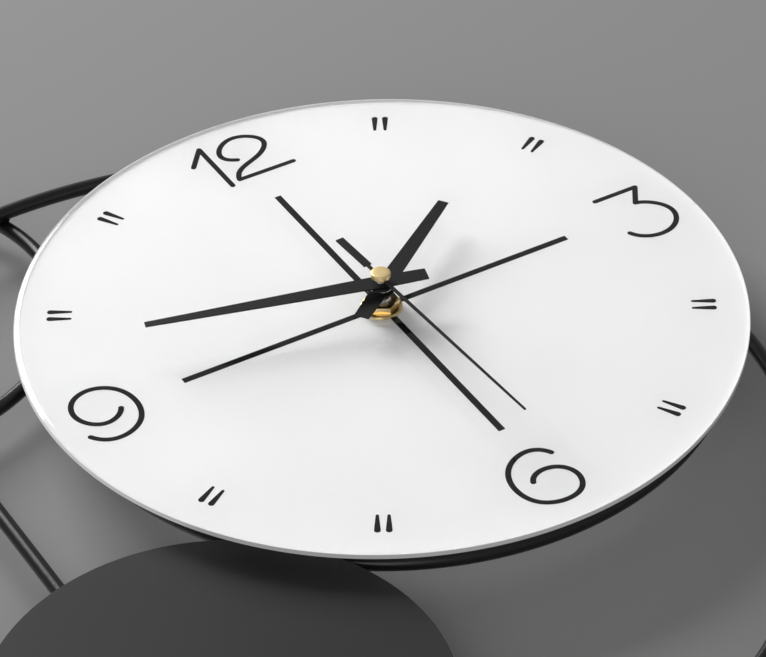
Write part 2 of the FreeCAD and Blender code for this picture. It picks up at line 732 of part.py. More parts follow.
MAKERS = {
    "dial_glass": make_glass,
    "dial_film": make_film,
    "dial_markings": make_markings,
    "dial_spacer": lambda: tube(SPACER_R, BUSH_R + 0.5, BAR_FRONT, DIAL_BACK),
    "dial_ring": lambda: rod_ring(DIAL_RING, LAYER_1),
    "big_arc": make_big_arc,
    "small_ring": lambda: rod_ring(SMALL_RING, LAYER_2),
    "strut": make_strut,
    "cross_bar": make_cross_bar,
    "hanger_tabs": make_tabs,
    "wall_bumpers": make_bumpers,
    "accent_plate": make_plate,
    "rubber_washer": lambda: tube(10.0, BUSH_R + 0.1, CASE_FRONT, BAR_BACK),
    "threaded_bush": make_bush,
    "brass_washer": make_washer,
    "brass_nut": make_nut,
    "hour_collet": lambda: tube(4.2, 2.5, HOUR_Z - 1.8, HOUR_Z),
    "hour_hand": make_hour_hand,
    "minute_collet": lambda: tube(5.3, 1.6, MINUTE_Z - 1.3, MINUTE_Z),
    "minute_hand": make_minute_hand,
    "second_collet": lambda: tube(1.2, 0.5, SECOND_Z - 1.4, SECOND_Z),
    "second_hand": make_second_hand,
    "hand_cap": make_cap,
    "seconds_arbor": make_seconds_arbor,
    "third_wheel": make_third_wheel,
    "centre_wheel": make_centre_wheel,
    "minute_wheel": make_minute_wheel,
    "hour_wheel": make_hour_wheel,
    "intermediate_wheel": make_intermediate_wheel,
    "rotor": make_rotor,
    "rotor_magnet": make_rotor_magnet,
    "setting_knob": make_knob,
    "movement_case": make_case,
    "movement_cover": make_cover,
    "clock_cell": lambda: make_cell((0, CELL_Y, CELL_Z), (1, 0, 0)),
    "clock_contacts": make_clock_contacts,
    "coil_bobbin": make_bobbin,
    "coil_winding": make_winding,
    "stator": make_stator,
    "circuit_board": make_board,
    "quartz_crystal": make_crystal,
    "swing_case": make_swing_case,
    "swing_cover": make_swing_cover,
    "swing_pin": make_pin,
    "swing_arm": make_arm,
    "swing_magnet": make_swing_magnet,
    "swing_coil": make_swing_coil,
    "swing_board": make_swing_board,
    "swing_cell": lambda: make_cell(SWING_CELL, (0, 1, 0)),
    "swing_contacts": make_swing_contacts,
    "plate_studs": make_studs,
    "stud_nuts": make_stud_nuts,
    "pendulum_rod": make_pendulum_rod,
    "pendulum_bob": make_bob,
}


def hang(shape):
    """From the bench to the wall: twelve o'clock to +Z, the viewer at -Y, the origin at the hangers."""
    hung = shape.copy()
    hung.translate(V(0, -HOLE_Y, -TAB_BACK))
    hung.rotate(V(0, 0, 0), V(1, 0, 0), 90)
    return hung


os.makedirs("parts", exist_ok=True)
for name, maker in MAKERS.items():
    piece = hang(maker())
    piece.exportStep("parts/" + name + ".step")
    state = "ok" if piece.isValid() else "INVALID"
    print(name, len(piece.Solids), "solid(s)", round(piece.Volume, 2), "mm3", state)
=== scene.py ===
# %% [markdown]
# # A pendulum wall clock, dressed for the camera
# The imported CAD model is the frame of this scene: it says where every piece sits and how it moves.
# This lesson gives each piece the finish of the real one, and models again with finer meshes what the
# eye meets first: the glass dial, the bent rods, the turned brass, the cells and the pendulum.

# %% Load the frame
import bpy
import bmesh
import math
import random
from mathutils import Matrix, Vector


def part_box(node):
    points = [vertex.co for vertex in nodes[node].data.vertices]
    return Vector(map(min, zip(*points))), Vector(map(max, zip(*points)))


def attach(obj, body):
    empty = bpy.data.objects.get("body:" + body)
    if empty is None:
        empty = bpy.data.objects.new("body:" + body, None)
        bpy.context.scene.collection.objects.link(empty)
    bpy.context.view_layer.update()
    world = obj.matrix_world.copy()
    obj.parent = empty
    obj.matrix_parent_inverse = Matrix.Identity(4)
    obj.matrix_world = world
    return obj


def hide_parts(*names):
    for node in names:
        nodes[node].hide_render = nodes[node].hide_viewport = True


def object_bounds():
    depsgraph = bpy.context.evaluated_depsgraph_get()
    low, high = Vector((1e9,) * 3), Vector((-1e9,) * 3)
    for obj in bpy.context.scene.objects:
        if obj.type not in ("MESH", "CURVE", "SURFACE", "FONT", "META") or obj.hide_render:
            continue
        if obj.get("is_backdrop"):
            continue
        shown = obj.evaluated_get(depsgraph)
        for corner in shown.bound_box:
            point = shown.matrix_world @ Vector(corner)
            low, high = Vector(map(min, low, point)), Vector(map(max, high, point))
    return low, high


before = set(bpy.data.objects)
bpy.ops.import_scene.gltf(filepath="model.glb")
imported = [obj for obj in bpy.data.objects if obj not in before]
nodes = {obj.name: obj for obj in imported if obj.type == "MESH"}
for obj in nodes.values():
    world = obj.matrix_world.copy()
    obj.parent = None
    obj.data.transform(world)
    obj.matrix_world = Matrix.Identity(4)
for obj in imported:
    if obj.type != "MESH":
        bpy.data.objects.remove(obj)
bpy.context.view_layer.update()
MM = 0.001

# %% [markdown]
# ## A bench to work on
# A clock is made face up on a bench and hung afterwards, so new pieces are modelled the same way here:
# x to three o'clock, y to twelve, z towards the viewer, and zero where the hand axis leaves the glass.
# One matrix hangs a finished piece on the wall, and its inverse reads the CAD boxes in bench terms.

# %% The bench and the hanging
glass_low, glass_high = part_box("dial_glass")
DIAL = Vector(((glass_low.x + glass_high.x) / 2, glass_low.y, (glass_low.z + glass_high.z) / 2))
HANG = Matrix.Translation(DIAL) @ Matrix.Rotation(math.radians(90), 4, "X")
BENCH = HANG.inverted()


class Extent:
    """A CAD node's box on the bench, in millimetres."""

    def __init__(self, node):
        a, b = (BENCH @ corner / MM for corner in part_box(node))
        self.low = Vector(map(min, a, b))
        self.high = Vector(map(max, a, b))
        self.middle = (self.low + self.high) / 2
        self.half = (self.high - self.low) / 2


glass = Extent("dial_glass")
print("dial radius", round(glass.half.x, 1), "mm, glass", round(glass.high.z - glass.low.z, 2), "mm thick")

# %% [markdown]
# ## The camera first
# The clock is seen from low on its left with the camera rolled, as if it lay on a table turned towards
# the viewer. A long lens keeps the ellipse of the dial calm. The view is a place, a target on the
# dial and a roll about the line of sight.

# %% Camera
CAMERA_FROM_DIAL = Vector((-584.0, -1032.6, 927.4))
TARGET_ON_DIAL = Vector((-6.5, -12.4, 0.0))
CAMERA_UP = Vector((0.32533, -0.78407, 0.52858))
LENS_MM = 173.5

camera_data = bpy.data.cameras.new("camera")
camera_data.lens = LENS_MM
camera_data.sensor_width = 36.0
camera = bpy.data.objects.new("camera", camera_data)
bpy.context.scene.collection.objects.link(camera)
camera_place = HANG @ (CAMERA_FROM_DIAL * MM)
sight = (HANG @ (TARGET_ON_DIAL * MM) - camera_place).normalized()
camera_right = sight.cross(CAMERA_UP).normalized()
camera_up = camera_right.cross(sight)
turn = Matrix((camera_right, camera_up, -sight)).transposed().to_4x4()
camera.matrix_world = Matrix.Translation(camera_place) @ turn
bpy.context.scene.camera = camera
bpy.context.scene.view_settings.view_transform = "Standard"
print("camera stands", round(camera_place.y, 3), "m in front of the wall line")

# %% [markdown]
# ## Colours and nodes
# A finish is described by sRGB hex colours, as on a paint card, and Blender mixes light in linear
# values, so one function converts them. A second function adds any node with its settings and links:
# a material then reads as a short list of what feeds what.

# %% Helpers for materials
def linear(code):
    """A hex colour such as #C8A24A as the linear RGBA that a shader needs."""
    channels = [int(code[k:k + 2], 16) / 255 for k in (1, 3, 5)]
    curved = [c / 12.92 if c <= 0.04045 else ((c + 0.055) / 1.055) ** 2.4 for c in channels]
    return (*curved, 1.0)


def add(tree, kind, settings=None, links=None):
    """Adds one shader node; a setting is a socket's value, a property, or the stops of a colour ramp."""
    made = tree.nodes.new("ShaderNode" + kind)
    for key, value in (settings or {}).items():
        if key == "stops":
            ramp = made.color_ramp
            while len(ramp.elements) < len(value):
                ramp.elements.new(0.5)
            for element, (at, code) in zip(ramp.elements, value):
                element.position, element.color = at, linear(code)
        elif key in made.inputs:
            made.inputs[key].default_value = value
        else:
            setattr(made, key, value)
    for key, source in (links or {}).items():
        tree.links.new(source, made.inputs[key])
    return made


def per_metre(millimetres):
    """The texture scale at which one cell of a pattern measures this many millimetres."""
    return 1000.0 / millimetres


def new_material(name, **shader):
    """A material with its shader's constant values set; returns it, its tree, its shader and coordinates."""
    material = bpy.data.materials.new(name)
    material.use_nodes = True
    tree = material.node_tree
    principled = tree.nodes["Principled BSDF"]
    for key, value in shader.items():
        principled.inputs[key.replace("_", " ")].default_value = value
    place = add(tree, "TexCoord").outputs["Object"]
    return material, tree, principled, place


FINISHES = {}
print("white is", [round(c, 3) for c in linear("#FFFFFF")])

# %% [markdown]
# ### Powder coat
# The steel frame is dipped in black powder and baked: a hard glossy skin, never perfectly flat. The eye
# reads it by the long bright line that runs along each rod and by the orange peel, slow waves two
# millimetres apart that break this line up a little. Two noises do it: a slow one bends the surface and
# makes the gloss uneven, and a fine one speckles the colour.

# %% Black powder coat
material, tree, shader, place = new_material("black_powder_coat_baked_on_steel")
peel = add(tree, "TexNoise", {"Scale": per_metre(2.2), "Detail": 3.0}, {"Vector": place})
speck = add(tree, "TexNoise", {"Scale": per_metre(0.5), "Detail": 2.0}, {"Vector": place})
tint = add(tree, "ValToRGB", {"stops": [(0.3, "#0B0B0C"), (0.7, "#141415")]}, {"Fac": speck.outputs["Fac"]})
gloss = add(tree, "MapRange", {"To Min": 0.26, "To Max": 0.36}, {"Value": peel.outputs["Fac"]})
wave = add(tree, "Bump", {"Strength": 0.12, "Distance": 0.0002}, {"Height": peel.outputs["Fac"]})
tree.links.new(tint.outputs["Color"], shader.inputs["Base Color"])
tree.links.new(gloss.outputs["Result"], shader.inputs["Roughness"])
tree.links.new(wave.outputs["Normal"], shader.inputs["Normal"])
FINISHES["black_powder_coat"] = material
print(material.name, len(tree.nodes), "nodes")

# %% [markdown]
# ### Matt enamel of the accent plate
# The round plate is sprayed with a charcoal enamel that has a flatting agent in it. It shows no
# reflections, only a soft even grey with a very fine grain, about half a millimetre, and slow cloudy
# differences where the spray overlapped.

# %% Plate enamel
material, tree, shader, place = new_material("charcoal_matt_enamel_sprayed", Specular_IOR_Level=0.35)
cloud = add(tree, "TexNoise", {"Scale": per_metre(45), "Detail": 2.0}, {"Vector": place})
grain = add(tree, "TexNoise", {"Scale": per_metre(0.5), "Detail": 3.0}, {"Vector": place})
tint = add(tree, "ValToRGB", {"stops": [(0.3, "#272728"), (0.7, "#2B2B2B")]}, {"Fac": cloud.outputs["Fac"]})
matt = add(tree, "MapRange", {"To Min": 0.5, "To Max": 0.6}, {"Value": grain.outputs["Fac"]})
tooth = add(tree, "Bump", {"Strength": 0.15, "Distance": 0.00005}, {"Height": grain.outputs["Fac"]})
tree.links.new(tint.outputs["Color"], shader.inputs["Base Color"])
tree.links.new(matt.outputs["Result"], shader.inputs["Roughness"])
tree.links.new(tooth.outputs["Normal"], shader.inputs["Normal"])
FINISHES["plate_enamel"] = material
print(material.name, len(tree.nodes), "nodes")

# %% [markdown]
# ### Glass, film and ink of the dial
# The dial is low-iron float glass with a polished bevel. The numerals are screen printed on its back,
# and a white film closes it, so the print lies deep behind a mirror-like front. Real glass needs a
# transmission shader. A lamp's shadow rays can't find their way through that, so for them alone the
# glass is transparent, with the few hundredths that its two faces keep back.

# %% Clear glass
material, tree, shader, place = new_material(
    "low_iron_float_glass_polished",
    Base_Color=linear("#FEFEFE"), Transmission_Weight=1.0, IOR=1.5, Roughness=0.0,
)
smear = add(tree, "TexNoise", {"Scale": per_metre(30), "Detail": 4.0}, {"Vector": place})
haze = add(tree, "MapRange", {"To Min": 0.0, "To Max": 0.012}, {"Value": smear.outputs["Fac"]})
tree.links.new(haze.outputs["Result"], shader.inputs["Roughness"])
rays = add(tree, "LightPath")
through = add(tree, "BsdfTransparent", {"Color": linear("#FCFCFC")})
output = tree.nodes["Material Output"]
both = add(tree, "MixShader", {}, {"Fac": rays.outputs["Is Shadow Ray"]})
tree.links.new(shader.outputs["BSDF"], both.inputs[1])
tree.links.new(through.outputs["BSDF"], both.inputs[2])
tree.links.new(both.outputs["Shader"], output.inputs["Surface"])
FINISHES["clear_glass"] = material
print(material.name, len(tree.nodes), "nodes")

# %% [markdown]
# The film is white vinyl: matt, very slightly uneven where the glue took. The ink is a dense
# charcoal, and the screen's mesh leaves a fine tooth in it. Neither has a gloss of its own, because
# both are glued to the glass and the only mirror is the front of the dial.

# %% Film and ink
NO_MIRROR = {"Roughness": 0.6, "Specular_IOR_Level": 0.0}
material, tree, shader, place = new_material("white_vinyl_film_calendered", **NO_MIRROR)
bloom = add(tree, "TexNoise", {"Scale": per_metre(60), "Detail": 2.0}, {"Vector": place})
tint = add(tree, "ValToRGB", {"stops": [(0.3, "#F2F2F2"), (0.7, "#F5F5F5")]}, {"Fac": bloom.outputs["Fac"]})
tree.links.new(tint.outputs["Color"], shader.inputs["Base Color"])
FINISHES["white_film"] = material

material, tree, shader, place = new_material("charcoal_ink_screen_printed", **NO_MIRROR)
screen = add(tree, "TexNoise", {"Scale": per_metre(0.4), "Detail": 1.0}, {"Vector": place})
INK = [(0.35, "#1A1A1A"), (0.65, "#222222")]
tint = add(tree, "ValToRGB", {"stops": INK}, {"Fac": screen.outputs["Fac"]})
tree.links.new(tint.outputs["Color"], shader.inputs["Base Color"])
FINISHES["printed_ink"] = material
print("film and ink are ready")

# %% [markdown]
# ### Painted hands
# The hands are stamped from aluminium sheet and sprayed matt black. The paint is thin, so it keeps the
# faint grain of the rolled sheet, and it is a little greyer than the frame.

# %% Hand paint
material, tree, shader, place = new_material("matt_black_paint_on_aluminium", Specular_IOR_Level=0.3)
grain = add(tree, "TexNoise", {"Scale": per_metre(0.35), "Detail": 3.0}, {"Vector": place})
patch = add(tree, "TexNoise", {"Scale": per_metre(12), "Detail": 1.0}, {"Vector": place})
tint = add(tree, "ValToRGB", {"stops": [(0.3, "#161617"), (0.7, "#1B1B1C")]}, {"Fac": patch.outputs["Fac"]})
matt = add(tree, "MapRange", {"To Min": 0.42, "To Max": 0.55}, {"Value": grain.outputs["Fac"]})
tooth = add(tree, "Bump", {"Strength": 0.1, "Distance": 0.00004}, {"Height": grain.outputs["Fac"]})
tree.links.new(tint.outputs["Color"], shader.inputs["Base Color"])
tree.links.new(matt.outputs["Result"], shader.inputs["Roughness"])
tree.links.new(tooth.outputs["Normal"], shader.inputs["Normal"])
FINISHES["hand_black"] = material
print(material.name, len(tree.nodes), "nodes")

# %% [markdown]
# ### Brass and nickel
# The washer, nut, cap and bob are turned from brass and polished, then lacquered. What is left of the
# lathe is a set of rings too fine to see, drawn here half a millimetre apart so that they show as a
# silky break in the reflections; the cap's are a little finer and the bob's coarser. They are a wave
# texture, centred by a Mapping node on the hand axis or on the middle of the bob. The bush and the small
# fittings are nickel-plated steel, paler and a little greyer.

# %% Polished brass and nickel plate
def turned_metal(name, stops, rough, ring_mm, centre):
    """A lathe-turned metal whose tool rings are centred on a place in the hung clock."""
    material, tree, shader, place = new_material(name, Metallic=1.0)
    centred = add(tree, "Mapping", {"Location": -centre}, {"Vector": place})
    rings = add(
        tree, "TexWave",
        {"wave_type": "RINGS", "rings_direction": "Y", "Scale": per_metre(ring_mm) / 20, "Distortion": 0.6},
        {"Vector": centred.outputs["Vector"]},
    )
    stain = add(tree, "TexNoise", {"Scale": per_metre(9), "Detail": 3.0}, {"Vector": place})
    tint = add(tree, "ValToRGB", {"stops": stops}, {"Fac": stain.outputs["Fac"]})
    gloss = add(tree, "MapRange", {"To Min": rough, "To Max": rough + 0.08}, {"Value": stain.outputs["Fac"]})
    cut = add(tree, "Bump", {"Strength": 0.06, "Distance": 0.00002}, {"Height": rings.outputs["Fac"]})
    tree.links.new(tint.outputs["Color"], shader.inputs["Base Color"])
    tree.links.new(gloss.outputs["Result"], shader.inputs["Roughness"])
    tree.links.new(cut.outputs["Normal"], shader.inputs["Normal"])
    return material


bob = Extent("pendulum_bob")
BRASS = [(0.2, "#E3C78F"), (0.8, "#EBD29E")]
# The cap's brass is painted paler than the washer's as a painted highlight for the light on its top. Its
# higher roughness is a real satin finish.
PALE_BRASS_PAINTED_HIGHLIGHT = [(0.2, "#F2D79A"), (0.8, "#F8E2AE")]
FINISHES["polished_brass"] = turned_metal("brass_turned_and_lacquered", BRASS, 0.1, 0.5, DIAL)
CAP_BRASS = turned_metal("brass_satined_with_painted_highlight", PALE_BRASS_PAINTED_HIGHLIGHT, 0.46, 0.4, DIAL)
BOB_BRASS = turned_metal("brass_spun_for_the_bob", BRASS, 0.16, 0.9, HANG @ (bob.middle * MM))
NICKEL = [(0.3, "#BDB9B0"), (0.7, "#CFCBC3")]
FINISHES["nickel_steel"] = turned_metal("nickel_plate_on_steel", NICKEL, 0.2, 0.5, DIAL)
print("metals:", FINISHES["polished_brass"].name, FINISHES["nickel_steel"].name)

# %% [markdown]
# ### Plastics and rubber
# The two cases are moulded ABS in a spark-eroded mould, which leaves a fine leathery grain that
# scatters light. The rubber feet are duller and dusty, and the wheels are acetal, a milky plastic
# that lets light into its skin. One recipe serves them all: a grain of a given size, two shades and a
# range of roughness.

# %% Moulded materials
def moulded(name, grain_mm, stops, rough, depth_mm, **shader_values):
    """A moulded surface: a grain of this size in two shades, with its roughness range and depth."""
    material, tree, shader, place = new_material(name, **shader_values)
    grain = add(tree, "TexVoronoi", {"Scale": per_metre(grain_mm)}, {"Vector": place})
    flow = add(tree, "TexNoise", {"Scale": per_metre(grain_mm * 14), "Detail": 3.0}, {"Vector": place})
    tint = add(tree, "ValToRGB", {"stops": stops}, {"Fac": flow.outputs["Fac"]})
    pit = grain.outputs["Distance"]
    matt = add(tree, "MapRange", {"To Min": rough[0], "To Max": rough[1]}, {"Value": pit})
    tooth = add(tree, "Bump", {"Strength": 0.3, "Distance": depth_mm * MM}, {"Height": pit})
    tree.links.new(tint.outputs["Color"], shader.inputs["Base Color"])
    tree.links.new(matt.outputs["Result"], shader.inputs["Roughness"])
    tree.links.new(tooth.outputs["Normal"], shader.inputs["Normal"])
    return material


ABS = [(0.3, "#19191A"), (0.7, "#202021")]
RUBBER = [(0.3, "#151515"), (0.7, "#232322")]
ACETAL = [(0.3, "#E4E1D8"), (0.7, "#EFECE4")]
FERRITE = [(0.3, "#242322"), (0.7, "#34322F")]
FINISHES["black_abs"] = moulded("abs_moulded_spark_eroded", 0.45, ABS, (0.45, 0.62), 0.03)
FINISHES["black_rubber"] = moulded("rubber_moulded", 0.7, RUBBER, (0.7, 0.9), 0.04)
FINISHES["white_acetal"] = moulded(
    "acetal_moulded", 0.3, ACETAL, (0.3, 0.42), 0.01, Subsurface_Weight=0.15, Subsurface_Scale=0.001
)
FINISHES["ferrite"] = moulded("ferrite_sintered", 0.25, FERRITE, (0.5, 0.75), 0.02)
print("moulded finishes are ready")

# %% [markdown]
# ### Copper wire and circuit board
# Winding wire lies in turns a tenth of a millimetre apart under a clear lacquer. They are drawn
# four tenths apart, because finer ones would not show. Their colour is darker in the grooves and
# lighter on the crests, which is painted shade and painted highlight. The board is glass-fibre laminate
# under green solder mask, with the tracks standing up through it as lighter squares.

# %% Winding and board
material, tree, shader, place = new_material(
    "copper_wire_lacquered_painted_shade_between_turns", Metallic=1.0, Coat_Weight=0.5, Coat_Roughness=0.1
)
turns = add(tree, "TexWave", {"bands_direction": "X", "Scale": per_metre(0.4) / 20}, {"Vector": place})
# The colour follows the same bands as the bump: painted shade in the grooves between turns, painted highlight
# on the crests.
tint = add(tree, "ValToRGB", {"stops": [(0.2, "#8A3F22"), (0.8, "#D07A4C")]}, {"Fac": turns.outputs["Fac"]})
ridge = add(tree, "Bump", {"Strength": 0.6, "Distance": 0.0001}, {"Height": turns.outputs["Fac"]})
tree.links.new(tint.outputs["Color"], shader.inputs["Base Color"])
tree.links.new(ridge.outputs["Normal"], shader.inputs["Normal"])
FINISHES["copper_wire"] = material

material, tree, shader, place = new_material("glass_fibre_board_solder_masked", Roughness=0.35)
tracks = add(tree, "TexVoronoi", {"Scale": per_metre(2.5), "distance": "CHEBYCHEV"}, {"Vector": place})
height = tracks.outputs["Distance"]
tint = add(tree, "ValToRGB", {"stops": [(0.3, "#2E7A4A"), (0.5, "#1C5A34")]}, {"Fac": height})
step = add(tree, "Bump", {"Strength": 0.4, "Distance": 0.00005}, {"Height": height})
tree.links.new(tint.outputs["Color"], shader.inputs["Base Color"])
tree.links.new(step.outputs["Normal"], shader.inputs["Normal"])
FINISHES["green_board"] = material
print("copper and board are ready")

# %% [markdown]
# ### Cell jacket
# Each AA cell wears a printed shrink sleeve. A plain two-colour sleeve, steel blue with a pale band at
# the button end, says battery without being anybody's. The band follows an attribute painted on the
# mesh, 0 at the flat end and 1 at the button, so the same finish serves a cell that lies either way.

# %% Cell jacket
material, tree, shader, place = new_material(
    "printed_shrink_sleeve", Roughness=0.3, Coat_Weight=0.4, Coat_Roughness=0.12
)
length_way = add(tree, "Attribute", {"attribute_name": "along_cell"})
stops = [(0.0, "#2F4F73"), (0.66, "#34587F"), (0.665, "#D9DCDD"), (0.69, "#D9DCDD"), (0.695, "#8E9AA3")]
sleeve = add(tree, "ValToRGB", {"stops": stops}, {"Fac": length_way.outputs["Fac"]})
wrinkle = add(tree, "TexNoise", {"Scale": per_metre(3), "Detail": 2.0}, {"Vector": place})
crease = add(tree, "Bump", {"Strength": 0.1, "Distance": 0.0001}, {"Height": wrinkle.outputs["Fac"]})
tree.links.new(sleeve.outputs["Color"], shader.inputs["Base Color"])
tree.links.new(crease.outputs["Normal"], shader.inputs["Normal"])
FINISHES["cell_jacket"] = material
print(material.name, len(tree.nodes), "nodes")

# %% [markdown]
# ## Every CAD node gets its finish
# The record names a material slot for each node, and the imported mesh carries that name, so the
# finishes go on by name. Pieces modelled further down hide the nodes that they stand for.

# %% Assign the finishes
for node in nodes.values():
    for held in node.material_slots:
        held.material = FINISHES[held.material.name.split(".")[0]]
print("finished", len(nodes), "nodes with", len(FINISHES), "finishes")

# %% [markdown]
# ## Helpers for modelling
# A lathe part is drawn the way a turner reads it, as radius and height, then spun round. Rods are a
# circle spun along their bend. Both start from a primitive that edit mode turns into the section.
# The last helper is the end of every piece: round its edges, hang it, name it, let it ride.

# %% Start, round and hang
SHARP = math.radians(30)
SMOOTH = math.radians(38)


def edit_everything():
    """Enters edit mode on the active piece with all of its points selected."""
    bpy.ops.object.mode_set(mode="EDIT")
    bpy.ops.mesh.select_mode(type="VERT")
    bpy.ops.mesh.select_all(action="SELECT")


def leave_edit():
    """Back to object mode; returns the piece."""
    bpy.ops.object.mode_set(mode="OBJECT")
    return bpy.context.object


def close_seams(tolerance_mm=0.002):
    """Merges doubled points and points all faces outwards, in edit mode."""
    bpy.ops.mesh.select_all(action="SELECT")
    bpy.ops.mesh.remove_doubles(threshold=tolerance_mm * MM)
    bpy.ops.mesh.normals_make_consistent(inside=False)


def only(piece):
    """Selects this piece alone and makes it active."""
    bpy.ops.object.select_all(action="DESELECT")
    piece.select_set(True)
    bpy.context.view_layer.objects.active = piece


def with_modifier(piece, kind, **settings):
    """Adds a modifier to the piece and applies it."""
    only(piece)
    modifier = piece.modifiers.new("shape", kind)
    for key, value in settings.items():
        setattr(modifier, key, value)
    bpy.ops.object.modifier_apply(modifier=modifier.name)
    return piece


def soften(piece, width_mm, segments=2):
    """Rounds every edge that turns by more than 30 degrees."""
    return with_modifier(
        piece, "BEVEL", width=width_mm * MM, segments=segments, limit_method="ANGLE",
        angle_limit=SHARP, loop_slide=False,
    )


def join(pieces):
    """Joins pieces into the first one."""
    only(pieces[0])
    for other in pieces[1:]:
        other.select_set(True)
    bpy.ops.object.join()
    return bpy.context.object


def hang(piece):
    """Moves a bench piece on to the hung clock and applies its place to its mesh."""
    only(piece)
    piece.matrix_world = HANG @ piece.matrix_world
    bpy.ops.object.transform_apply(location=True, rotation=True, scale=True)
    return piece


def settle(piece, name, body, slot, *stands_for, material=None):
    """Names a hung piece, gives it its finish and lets it ride on a body."""
    only(piece)
    bpy.ops.object.shade_smooth_by_angle(angle=SMOOTH)
    with_modifier(piece, "WEIGHTED_NORMAL", keep_sharp=True)
    piece.name = piece.data.name = name
    piece.data.materials.clear()
    piece.data.materials.append(material or FINISHES[slot])
    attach(piece, body)
    if stands_for:
        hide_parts(*stands_for)
    print(name, len(piece.data.polygons), "faces")


def refined(node, width_mm):
    """A copy of a CAD node with its triangles merged and its edges rounded, for settle()."""
    mesh = nodes[node].data.copy()
    piece = bpy.data.objects.new(node + "_refined", mesh)
    bpy.context.scene.collection.objects.link(piece)
    only(piece)
    bpy.ops.mesh.customdata_custom_splitnormals_clear()
    edit_everything()
    close_seams(0.001)
    bpy.ops.mesh.dissolve_limited(angle_limit=math.radians(1))
    leave_edit()
    return soften(piece, width_mm)


# %% Lathe and rod bender
def lathe(profile, steps, centre=(0.0, 0.0), closed=True):
    """Spins a line of (radius, height) points, in mm, round an upright axis at centre."""
    bpy.ops.object.select_all(action="DESELECT")
    bpy.ops.mesh.primitive_plane_add(size=MM, location=(centre[0] * MM, centre[1] * MM, 0))
    edit_everything()
    bpy.ops.mesh.merge(type="CENTER")
    bpy.ops.transform.translate(value=(profile[0][0] * MM, 0, profile[0][1] * MM))
    line = profile + profile[:1] if closed else profile
    for (r0, z0), (r1, z1) in zip(line, line[1:]):
        step = ((r1 - r0) * MM, 0, (z1 - z0) * MM)
        bpy.ops.mesh.extrude_region_move(TRANSFORM_OT_translate={"value": step})
    bpy.ops.mesh.select_all(action="SELECT")
    bpy.ops.mesh.spin(
        steps=steps, angle=math.tau, center=(centre[0] * MM, centre[1] * MM, 0), axis=(0, 0, 1)
    )
    close_seams()
    return leave_edit()


def bent_rod(ring, rod_r, level, start=0.0, sweep=360.0, steps=256):
    """Round rod bent to a ring (x, y, radius), from a start angle through a sweep, in mm and degrees."""
    x, y, radius = ring
    at = math.radians(start)
    place = ((x + radius * math.cos(at)) * MM, (y + radius * math.sin(at)) * MM, level * MM)
    bpy.ops.object.select_all(action="DESELECT")
    bpy.ops.mesh.primitive_circle_add(
        vertices=32, radius=rod_r * MM, location=place, rotation=(math.radians(90), 0, at)
    )
    edit_everything()
    bpy.ops.mesh.spin(
        steps=steps, angle=-math.radians(sweep), center=(x * MM, y * MM, level * MM), axis=(0, 0, 1)
    )
    if sweep < 360:
        bpy.ops.mesh.select_all(action="DESELECT")
        bpy.ops.mesh.select_non_manifold()
        bpy.ops.mesh.fill_holes(sides=64)
    close_seams()
    return leave_edit()


print("helpers are ready")

# %% [markdown]
# ## The glass dial
# The disc is cut from float glass, bored for the movement's bush and bevelled by a wheel round its
# front edge. It is turned here from its section, with the two arrises where the bevel ends only just
# rounded, because they catch the two bright lines round the rim. The white film behind it is carried
# up the ground edge as far as the bevel, so the rim is white as well. Print and film are bonded to the
# glass with no air between, so the glass here reaches a few hundredths past their faces: light that
# enters the glass meets the ink directly, with no second mirror in front of it.

# %% Glass and film
BORE_R = 4.4
BEVEL_IN, BEVEL_DOWN = 3.2, 1.1
EDGE_PAINT = 0.3
BOND = 0.03
edge = glass.half.x
film = Extent("dial_film")
back = film.high.z - BOND
rim = edge - EDGE_PAINT + BOND
section = [(BORE_R, back), (rim, back), (rim, -BEVEL_DOWN), (edge - BEVEL_IN, 0), (BORE_R, 0)]
disc = soften(lathe(section, steps=256), 0.12)
settle(hang(disc), "dial_glass_bevelled", "frame", "clear_glass", "dial_glass")

section = [
    (BORE_R, film.low.z), (edge, film.low.z), (edge, -BEVEL_DOWN), (edge - EDGE_PAINT, -BEVEL_DOWN),
    (edge - EDGE_PAINT, film.high.z), (BORE_R, film.high.z),
]
settle(hang(lathe(section, steps=256)), "dial_film_cut", "frame", "white_film", "dial_film")

# %% [markdown]
# ## The bent rods
# The frame is cold-drawn rod, six millimetres thick under its coat, bent round formers into two rings
# and one open ring whose ends meet the dial ring. A circle spun along each bend gives a rod as round
# as the real one. The open ring's ends are worked out from where the two circles cross.

# %% Rings, arc and strut
dial_ring = Extent("dial_ring")
small_ring = Extent("small_ring")
ROD_R = dial_ring.half.z
BIG_RING = (-85.2, -54.0, 214.0)


def ring_of(extent):
    """Centre and bend radius of a full ring."""
    return extent.middle.x, extent.middle.y, extent.half.x - ROD_R


def crossing(ring, other):
    """Direction from ring to other, and the half angle that other cuts from it, in degrees."""
    across = Vector(other[:2]) - Vector(ring[:2])
    d, r, s = across.length, ring[2], other[2]
    half = math.acos((d * d + r * r - s * s) / (2 * d * r))
    return math.degrees(math.atan2(across.y, across.x)), math.degrees(half)


settle(
    hang(bent_rod(ring_of(dial_ring), ROD_R, dial_ring.middle.z)),
    "dial_ring_bent", "frame", "black_powder_coat", "dial_ring",
)
settle(
    hang(bent_rod(ring_of(small_ring), ROD_R, small_ring.middle.z, steps=192)),
    "small_ring_bent", "frame", "black_powder_coat", "small_ring",
)
towards, half_cut = crossing(BIG_RING, ring_of(dial_ring))
arc = bent_rod(BIG_RING, ROD_R, dial_ring.middle.z, towards + half_cut, 360 - 2 * half_cut)
settle(hang(arc), "big_arc_bent", "frame", "black_powder_coat", "big_arc")
print("the open ring starts at", round(towards + half_cut, 1), "degrees")

# %% [markdown]
# The strut is straight rod. It starts as the same circle, extruded along its length; its upper end
# runs into the open ring and its lower end is rounded off behind the plate.

